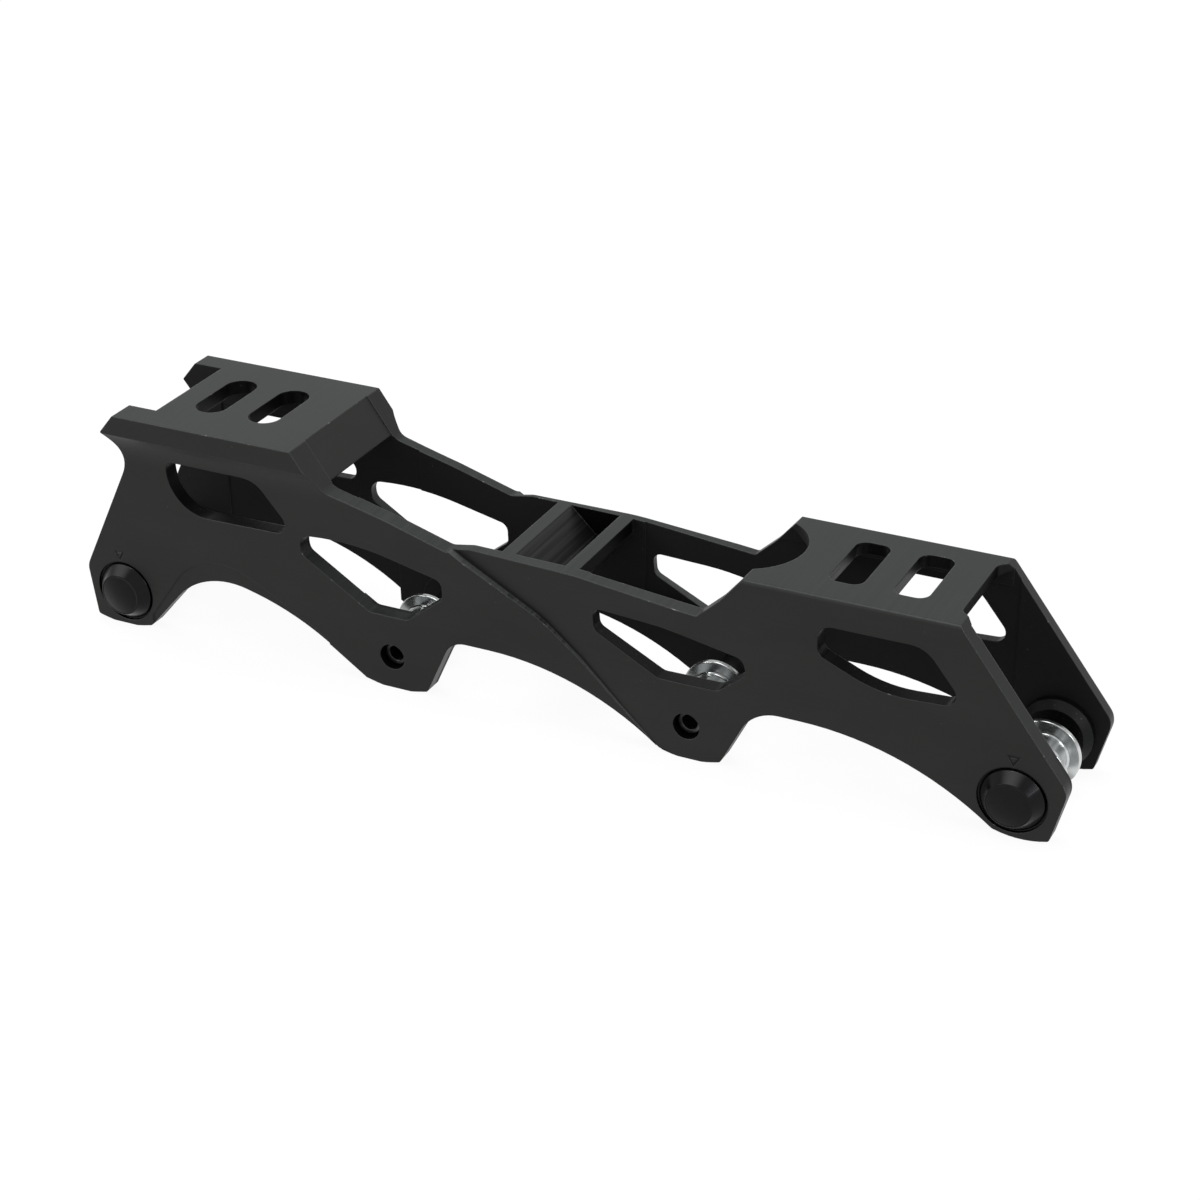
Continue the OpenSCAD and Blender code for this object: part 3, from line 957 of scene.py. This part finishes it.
def make_mesh(name: str, points: np.ndarray, quads: np.ndarray, slots: np.ndarray) -> Object:
    """Puts quads into a new object, closed at its poles, facing outwards and smooth.

    Args:
        name: the piece's name.
        points: corner places, in metres.
        quads: four point numbers for each face.
        slots: a material number for each face.

    Returns:
        The new object.
    """
    mesh = bpy.data.meshes.new(name)
    mesh.from_pydata(points.tolist(), [], quads.tolist())
    mesh.polygons.foreach_set("material_index", slots.astype(np.int32))
    work = bmesh.new()
    work.from_mesh(mesh)
    bmesh.ops.remove_doubles(work, verts=work.verts, dist=WELD)
    bmesh.ops.recalc_face_normals(work, faces=work.faces)
    work.to_mesh(mesh)
    work.free()
    mesh.polygons.foreach_set("use_smooth", np.ones(len(mesh.polygons), bool))
    mesh.set_sharp_from_angle(angle=math.radians(CREASE_DEG))
    mesh.update()
    return place_mesh(name, mesh)


def place_mesh(name: str, mesh: Mesh) -> Object:
    """Puts a mesh into the scene as a new object at the origin.

    Args:
        name: the object's name.
        mesh: its mesh.

    Returns:
        The object.
    """
    piece = bpy.data.objects.new(name, mesh)
    bpy.context.scene.collection.objects.link(piece)
    return piece


def dress(piece: Object, *materials: Material) -> None:
    """Gives a piece its materials, in order.

    Args:
        piece: the object to dress.
        materials: what its faces' material numbers mean.
    """
    piece.data.materials.clear()
    for material in materials:
        piece.data.materials.append(material)


@dataclass
class Station:
    """Sizes that all four wheel stations share, in the frame's coordinates."""

    along: tuple[float, ...] = (-116.045, -39.045, 37.955, 114.955)
    axle_z: float = 8.4
    wall_y: float = 17.7
    near_y: float = -13.3
    far_y: float = 14.9
    near_seat_y: float = -12.6
    far_seat_y: float = 11.4
    eccentric: float = 0.8
    running: float = 0.05

    def at(self, index: int, y: float, raised: float = 0.0) -> tuple[float, float, float]:
        """The point on a station's axle line at one y, raised by some millimetres."""
        return (self.along[index], y, self.axle_z + raised)


class Seat(NamedTuple):
    """Where a turned piece belongs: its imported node, its station from the heel, its body."""

    node: str
    index: int
    body: str


class Palette:
    """The finishes, made once and shared."""

    def __init__(self, station: Station) -> None:
        """Builds every finish.

        Args:
            station: the places of the axles' lines.
        """
        self.anodised = Anodised("anodised_aluminium").build()
        self.gloss = GlossBlack("gloss_black").build()
        self.satin = SatinBlack("satin_black").build()
        self.bush = BushGrey("bush_grey").build()
        self.cut = CutFace("cut_aluminium").build()
        silver = TurnedSilver("turned_silver", along=station.along, height=station.axle_z)
        self.silver = silver.build()
        self.steel = AxleSteel("axle_steel").build()


class Facets:
    """The plane faces of a solid's triangles, for shading flats flat and arcs round.

    Triangles whose shared edge turns by less than level_deg lie in one plane face, and an edge
    that turns by crease_deg or more is always sharp. A face is square to an axis when that
    component of its normal is under square, and looks along one when it is over along.
    """

    level_deg: float = 0.35
    crease_deg: float = 27.0
    small_mm2: float = 22.0
    narrow_mm: float = 1.7
    square: float = 0.03
    along: float = 0.9
    ways_round: int = 3

    def __init__(self, mesh: Mesh) -> None:
        """Gathers the triangles into plane faces and measures them.

        Args:
            mesh: the merged solid's mesh.
        """
        self.mesh = mesh
        self.work = bmesh.new()
        self.work.from_mesh(mesh)
        self.work.faces.ensure_lookup_table()
        self.normal = np.array([face.normal for face in self.work.faces])
        self.plane = np.zeros(len(self.normal), int)
        for run in self.runs(range(len(self.normal)), self.is_level):
            self.plane[run] = run[0]
        self.wide = self.wide_planes()

    def runs(self, faces: Iterable[int], joins: Callable[[BMEdge], bool]) -> list[list[int]]:
        """Groups triangles into runs, each grown over its edges until it meets no more.

        Args:
            faces: numbers of the triangles to group.
            joins: whether a run goes on over an edge.

        Returns:
            The numbers in each run.
        """
        left = set(faces)
        runs = []
        while left:
            run = [left.pop()]
            for k in run:
                near = {other.index for edge in self.work.faces[k].edges if joins(edge)
                        for other in edge.link_faces} & left
                left -= near
                run.extend(near)
            runs.append(run)
        return runs

    @staticmethod
    def turn(edge: BMEdge) -> float:
        """The angle between an edge's two faces, in degrees, or a half turn at a loose edge."""
        return math.degrees(edge.calc_face_angle(math.pi))

    def is_level(self, edge: BMEdge) -> bool:
        """Whether an edge's faces lie in one plane."""
        return len(edge.link_faces) == 2 and self.turn(edge) < self.level_deg

    def wide_planes(self) -> np.ndarray:
        """Marks the triangles of real flats, as against an arc's facets.

        A flat has more than small_mm2 of area, and area over its longest extent, its mean
        width, is more than narrow_mm.

        Returns:
            One truth value for each triangle.
        """
        corners = np.array([[v.co for v in face.verts] for face in self.work.faces]) / MM
        cross = np.cross(corners[:, 1] - corners[:, 0], corners[:, 2] - corners[:, 0])
        area = np.linalg.norm(cross, axis=1) / 2
        total = np.bincount(self.plane, area, len(area))
        low = np.full((len(area), 3), np.inf)
        high = np.full((len(area), 3), -np.inf)
        np.minimum.at(low, self.plane, corners.min(axis=1))
        np.maximum.at(high, self.plane, corners.max(axis=1))
        extent = np.where(total > 0, (high - low).max(axis=1), 1.0)
        flat = (total > self.small_mm2) & (total / extent > self.narrow_mm)
        return flat[self.plane]

    def is_smooth(self, edge: BMEdge) -> bool:
        """Whether shading runs on over an edge: always in a plane face, else beside an arc.

        Args:
            edge: an edge of the working copy.

        Returns:
            True where the shading is smooth.
        """
        if len(edge.link_faces) != 2:
            return False
        first, second = (face.index for face in edge.link_faces)
        if self.plane[first] == self.plane[second]:
            return True
        return self.turn(edge) < self.crease_deg and not (self.wide[first]
                                                          and self.wide[second])

    def shade(self) -> None:
        """Writes a normal for every corner of every triangle, and frees the working copy.

        A corner in a flat has the flat's own normal. In an arc's facet, it has the mean of the
        normals of the flats that it runs into smoothly, or else of all such facets.
        """
        smooth_edge = {edge.index: self.is_smooth(edge) for edge in self.work.edges}
        normals = np.zeros((len(self.mesh.loops), 3))
        place = {(self.mesh.loops[k].vertex_index, face.index): k
                 for face in self.mesh.polygons for k in face.loop_indices}
        for vertex in self.work.verts:
            around = [face.index for face in vertex.link_faces]
            for fan in self.runs(around, lambda e: vertex in e.verts and smooth_edge[e.index]):
                mean = self.fan_normal(fan)
                for k in fan:
                    normals[place[vertex.index, k]] = self.normal[k] if self.wide[k] else mean
        self.work.free()
        self.mesh.polygons.foreach_set("use_smooth", np.ones(len(self.mesh.polygons), bool))
        self.mesh.normals_split_custom_set(normals.tolist())
        self.mesh.update()

    def fan_normal(self, fan: list[int]) -> np.ndarray:
        """The mean normal of a fan's flats, each counted once, or of its facets.

        Args:
            fan: numbers of the triangles round a corner.

        Returns:
            A unit vector.
        """
        flats = [k for k in fan if self.wide[k]] or fan
        once = {int(self.plane[k]): self.normal[k] for k in flats}
        mean = np.sum(list(once.values()), axis=0)
        length = np.linalg.norm(mean)
        return mean / length if length > TINY else self.normal[fan[0]]

    def cut_loops(self, longest_mm: float) -> np.ndarray:
        """Marks the cutter's walls inside windows, slots and bores.

        They are runs of faces square to Y, or square to Z, that close on themselves within
        longest_mm, whereas the frame's outer edges run on for its whole length.

        Args:
            longest_mm: the longest extent of one opening.

        Returns:
            One truth value for each triangle.
        """
        marked = np.zeros(len(self.normal), bool)
        for axis in (Y, Z):
            marked |= self.closed_runs(np.abs(self.normal[:, axis]) < self.square, longest_mm)
        return marked

    def closed_runs(self, member: np.ndarray, longest_mm: float) -> np.ndarray:
        """Marks the members whose connected run is short and turns round.

        Args:
            member: one truth value for each triangle.
            longest_mm: the longest extent of a short run.

        Returns:
            One truth value for each triangle.
        """
        marked = np.zeros(len(member), bool)
        for run in self.runs(np.flatnonzero(member).tolist(), lambda edge: True):
            corners = np.array([v.co for k in run for v in self.work.faces[k].verts]) / MM
            span = (corners.max(axis=0) - corners.min(axis=0)).max()
            facing = self.normal[run]
            ways = ((facing.max(axis=0) > self.along).sum()
                    + (facing.min(axis=0) < -self.along).sum())
            marked[run] = span < longest_mm and ways >= self.ways_round
        return marked


@dataclass
class Chassis:
    """The machined frame itself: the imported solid, merged and smoothly shaded."""

    palette: Palette
    merge: float = 0.001
    window_span: float = 60.0

    def build(self, node: Object) -> Object:
        """Copies the solid, closes its loose triangles and shades its arcs smooth.

        Args:
            node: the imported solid's object.

        Returns:
            The piece that stands for it.
        """
        mesh = node.data.copy()
        mesh.name = "frame_body"
        work = bmesh.new()
        work.from_mesh(mesh)
        bmesh.ops.remove_doubles(work, verts=work.verts, dist=self.merge * MM)
        work.to_mesh(mesh)
        work.free()
        piece = place_mesh("frame_body", mesh)
        dress(piece, self.palette.anodised, self.palette.cut)
        facets = Facets(mesh)
        cut = facets.cut_loops(self.window_span)
        mesh.polygons.foreach_set("material_index", cut.astype(np.int32))
        facets.shade()
        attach(piece, "chassis")
        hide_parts("chassis")
        return piece


@dataclass
class RockerSet:
    """The eccentric nut and bush of one end station."""

    palette: Palette
    station: Station
    insert_r: float = 7.55
    collar_r: float = 8.6
    collar_seat_r: float = 6.9
    near_cone_h: float = 0.4
    far_cone_h: float = 1.7
    mouth_depth: float = 0.8
    disc_r: float = 5.35
    disc_out: float = 2.55
    disc_t: float = 3.4
    bore_r: float = 3.3
    axle_bore_r: float = 4.05
    taper: float = 0.2
    groove_from: float = 0.55
    groove_to: float = 0.45
    groove_deep: float = 0.06
    lip_in: float = 0.2
    lip_deep: float = 0.02
    lip_edge: float = 0.08

    def nut(self, seat: Seat) -> Object:
        """The closed threaded nut in the near wall: a cone with a flat disc.

        Args:
            seat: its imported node, its station and the body that it turns with.

        Returns:
            The piece.
        """
        s = self.station
        inner = s.near_seat_y - s.near_y - s.running
        face = s.near_seat_y + s.wall_y
        top = face + self.disc_out
        blind = top - self.disc_t
        rings = [
            Ring(top, 0.0, slot=1),
            Ring(top, self.disc_r - self.groove_from, slot=1),
            Ring(top - self.groove_deep, self.disc_r - self.groove_to, slot=1),
            Ring(top - self.lip_deep, self.disc_r - self.lip_in, 0.06),
            Ring(top - self.lip_edge, self.disc_r, 0.1),
            Ring(face, self.insert_r - self.taper, 0.25),
            Ring(face - self.mouth_depth, self.insert_r, 0.1),
            Ring(inner, self.insert_r, slot=1),
            Ring(inner, self.collar_r, 0.12, slot=1),
            Ring(self.near_cone_h, self.collar_r, 0.12, slot=1),
            Ring(0.0, self.collar_seat_r, 0.1, slot=1),
            Ring(0.0, self.bore_r, slot=1, shift=-s.eccentric),
            Ring(blind, self.bore_r, slot=1, shift=-s.eccentric),
            Ring(blind, 0.0, slot=1, shift=-s.eccentric),
        ]
        middle = s.at(seat.index, s.near_seat_y, s.eccentric)
        piece = Turned("cap_" + seat.node, middle, Side.NEAR, rings).build()
        dress(piece, self.palette.gloss, self.palette.satin)
        return settle(piece, seat.body, seat.node)

    def bush(self, seat: Seat) -> Object:
        """The bush in the far wall: a cone towards the wheel and a bore for the axle.

        Args:
            seat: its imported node, its station and the body that it turns with.

        Returns:
            The piece.
        """
        s = self.station
        inner = s.far_y - s.far_seat_y - s.running
        face = s.wall_y - s.far_seat_y
        rings = [
            Ring(0.0, self.axle_bore_r, slot=1, shift=-s.eccentric),
            Ring(0.0, self.collar_seat_r, 0.15),
            Ring(self.far_cone_h, self.collar_r, 0.2),
            Ring(inner, self.collar_r, 0.1),
            Ring(inner, self.insert_r),
            Ring(face - self.mouth_depth, self.insert_r, 0.1),
            Ring(face, self.insert_r - self.taper, 0.15),
            Ring(face, self.axle_bore_r, slot=1, shift=-s.eccentric),
        ]
        middle = s.at(seat.index, s.far_seat_y, s.eccentric)
        piece = Turned("sleeve_" + seat.node, middle, Side.FAR, rings, closed=True).build()
        dress(piece, self.palette.bush, self.palette.satin)
        return settle(piece, seat.body, seat.node)


@dataclass
class WheelAxle:
    """A screwed axle and the loose bearing spacer on it."""

    palette: Palette
    station: Station
    axle_r: float = 4.0
    thread_r: float = 3.25
    thread_depth: float = 0.3
    thread_pitch: float = 1.0
    thread_from: float = 0.4
    thread_to: float = 0.6
    tip_back: float = 2.0
    tip_hole_r: float = 1.9
    tip_hole_depth: float = 4.0
    tip_slant: float = 0.5
    tip_mouth: float = 0.15
    head_r: float = 6.5
    head_t: float = 2.6
    head_slant: float = 0.8
    key_land: float = 0.75
    key_r: float = 2.0
    key_depth: float = 2.4
    spacer_len: float = 11.0
    spacer_r: float = 8.3
    flange_t: float = 1.35
    barrel_r: float = 5.3
    spacer_free: tuple[float, ...] = (4.5, 2.0, 1.45, 7.6)

    def axle(self, seat: Seat) -> Object:
        """The axle: head with a six-sided socket, shank, thread root and hollow tip.

        Args:
            seat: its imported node, its station and the body that it slides with.

        Returns:
            The piece.
        """
        s = self.station
        shank = s.wall_y - s.near_seat_y - s.running
        tip = 2 * s.wall_y - self.tip_back
        blind = tip - self.tip_hole_depth
        rings = [
            Ring(self.key_depth - self.head_t, 0.0),
            Ring(self.key_depth - self.head_t, self.key_r, hexed=True),
            Ring(-self.head_t, self.key_r, hexed=True),
            Ring(-self.head_t, self.key_r + self.key_land),
            Ring(-self.head_t, self.head_r - self.head_slant, 0.3),
            Ring(self.head_slant - self.head_t, self.head_r, 0.3),
            Ring(0.0, self.head_r, 0.12),
            Ring(0.0, self.axle_r),
            Ring(shank, self.axle_r, 0.25),
            Ring(shank, self.thread_r),
            *self.crests(shank + self.thread_from, tip - self.thread_to),
            Ring(tip - self.tip_slant, self.thread_r),
            Ring(tip, self.thread_r - self.tip_slant, 0.12),
            Ring(tip, self.tip_hole_r + self.tip_mouth),
            Ring(tip - self.tip_mouth, self.tip_hole_r),
            Ring(blind, self.tip_hole_r),
            Ring(blind, 0.0),
        ]
        middle = s.at(seat.index, s.wall_y)
        piece = Turned("pin_" + seat.node, middle, Side.NEAR, rings).build()
        dress(piece, self.palette.steel)
        return settle(piece, seat.body, seat.node)

    def crests(self, start: float, end: float) -> list[Ring]:
        """Rings of a thread between two places along the axle.

        Args:
            start: where the first crest may stand.
            end: where the last crest may stand.

        Returns:
            Crests at every pitch, and roots half-way between them.
        """
        count = int((end - start) / self.thread_pitch)
        return [Ring(start + k / 2 * self.thread_pitch, self.thread_r - k % 2 * self.thread_depth)
                for k in range(2 * count + 1)]

    def spacer(self, seat: Seat) -> Object:
        """The spool between two bearings: two thin flanges and a barrel.

        Args:
            seat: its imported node, its station and the body that it slides with.

        Returns:
            The piece.
        """
        s = self.station
        bore = self.axle_r + s.running
        start = self.spacer_free[seat.index]
        end = start + self.spacer_len
        rings = [
            Ring(start, bore, 0.15),
            Ring(start, self.spacer_r, 0.3),
            Ring(start + self.flange_t, self.spacer_r, 0.3),
            Ring(start + self.flange_t, self.barrel_r, 0.6),
            Ring(end - self.flange_t, self.barrel_r, 0.6),
            Ring(end - self.flange_t, self.spacer_r, 0.3),
            Ring(end, self.spacer_r, 0.3),
            Ring(end, bore, 0.15),
        ]
        middle = s.at(seat.index, s.near_seat_y)
        piece = Turned("spool_" + seat.node, middle, Side.FAR, rings, closed=True).build()
        dress(piece, self.palette.silver)
        return settle(piece, seat.body, seat.node)


def settle(piece: Object, body: str, node: str) -> Object:
    """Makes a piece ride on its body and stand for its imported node.

    Args:
        piece: the dressed piece.
        body: the body that it moves with.
        node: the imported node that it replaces.

    Returns:
        The same piece.
    """
    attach(piece, body)
    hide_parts(node)
    return piece


@dataclass(frozen=True)
class Lamp:
    """A square soft lamp aimed at the frame's middle."""

    name: str
    at: tuple[float, float, float]
    size: float
    watts: float


@dataclass
class Studio:
    """Camera, lamps, white world and pale floor."""

    right: tuple[float, float, float] = (0.89591, 0.44392, -0.01661)
    up: tuple[float, float, float] = (-0.19625, 0.42906, 0.88170)
    ahead: tuple[float, float, float] = (-0.39853, 0.78667, -0.47152)
    eye: tuple[float, float, float] = (0.251571, -0.481307, 0.314060)
    lens: float = 78.617
    sensor: float = 36.0
    nearest: float = 0.01
    floor_half: float = 3.0
    floor_grey: Colour = (0.82, 0.82, 0.82)
    floor_glow: float = 1.03
    glow_share: float = 0.9
    aimed_at: tuple[float, float, float] = (0.0, 0.0, 0.03)
    lamps: tuple[Lamp, ...] = (
        Lamp("overhead", (-0.15, 0.15, 1.1), 0.6, 6.0),
        Lamp("front_left", (-0.9, -0.9, 0.7), 0.45, 5.0),
        Lamp("right", (1.1, -0.2, 0.6), 0.4, 4.0),
    )
    world_light: float = 0.62

    def camera(self) -> None:
        """Sets the camera that was fitted to the photograph's wheel stations and slots."""
        data = bpy.data.cameras.new("camera")
        data.lens = self.lens
        data.sensor_width = self.sensor
        data.sensor_fit = "AUTO"
        data.clip_start = self.nearest
        camera = bpy.data.objects.new("camera", data)
        back = tuple(-c for c in self.ahead)
        turn = Matrix((self.right, self.up, back)).transposed().to_4x4()
        camera.matrix_world = Matrix.Translation(self.eye) @ turn
        bpy.context.scene.collection.objects.link(camera)
        bpy.context.scene.camera = camera

    def light(self) -> None:
        """Adds the lamps."""
        for lamp in self.lamps:
            data = bpy.data.lights.new(lamp.name, "AREA")
            data.shape = "SQUARE"
            data.size = lamp.size
            data.energy = lamp.watts
            lit = bpy.data.objects.new(lamp.name, data)
            lit.location = lamp.at
            aim = Vector(self.aimed_at) - lit.location
            lit.rotation_euler = aim.to_track_quat("-Z", "Y").to_euler()
            bpy.context.scene.collection.objects.link(lit)

    def world(self) -> None:
        """A grey world that cameras, metal and glass see as white."""
        world = bpy.data.worlds.new("white_room")
        bpy.context.scene.world = world
        nodes = Nodes(world, "ShaderNodeOutputWorld")
        soft, seen = (nodes.add("ShaderNodeBackground", None, {"Color": WHITE, "Strength": k})
                      for k in (self.world_light, 1.0))
        nodes.show(nodes.shown_white(), soft, seen)

    def floor(self, level: float) -> None:
        """A white floor that keeps the frame's soft shadow.

        Args:
            level: its height, in metres.
        """
        half = self.floor_half
        corners = np.array([[-half, -half, level], [half, -half, level],
                            [half, half, level], [-half, half, level]])
        floor = make_mesh("floor", corners, np.array([[0, 1, 2, 3]]), np.zeros(1, int))
        material = bpy.data.materials.new("floor_white")
        nodes = Nodes(material, "ShaderNodeOutputMaterial")
        matt = nodes.add("ShaderNodeBsdfDiffuse", None, {"Color": self.floor_grey})
        glow = nodes.add("ShaderNodeEmission", None,
                         {"Color": WHITE, "Strength": self.floor_glow})
        nodes.show(nodes.shown_white() * self.glow_share, matt, glow)
        dress(floor, material)
        floor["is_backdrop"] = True


def main() -> None:
    """Builds the frame's pieces in order and reports each one."""
    logging.basicConfig(level=logging.INFO, format="%(name)s: %(message)s")
    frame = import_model()
    solid_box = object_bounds()
    bpy.context.scene.view_settings.view_transform = "Standard"
    studio = Studio()
    studio.camera()
    studio.light()
    studio.world()
    studio.floor(float(solid_box[0][2]))

    station = Station()
    palette = Palette(station)
    pieces = [Chassis(palette).build(frame["nodes"]["chassis"])]
    rockers = RockerSet(palette, station)
    for end, index in (("rear", 0), ("front", 3)):
        body = end + "_rocker"
        pieces.append(rockers.nut(Seat(body + "_nut", index, body)))
        pieces.append(rockers.bush(Seat(body + "_bush", index, body)))
    axles = WheelAxle(palette, station)
    for index in range(len(station.along)):
        for kind, make in (("axle_", axles.axle), ("spacer_", axles.spacer)):
            name = kind + str(index + 1)
            pieces.append(make(Seat(name, index, name)))
    for piece in pieces:
        log.info("%s: %d faces", piece.name, len(piece.data.polygons))


if __name__ == "__main__":
    main()
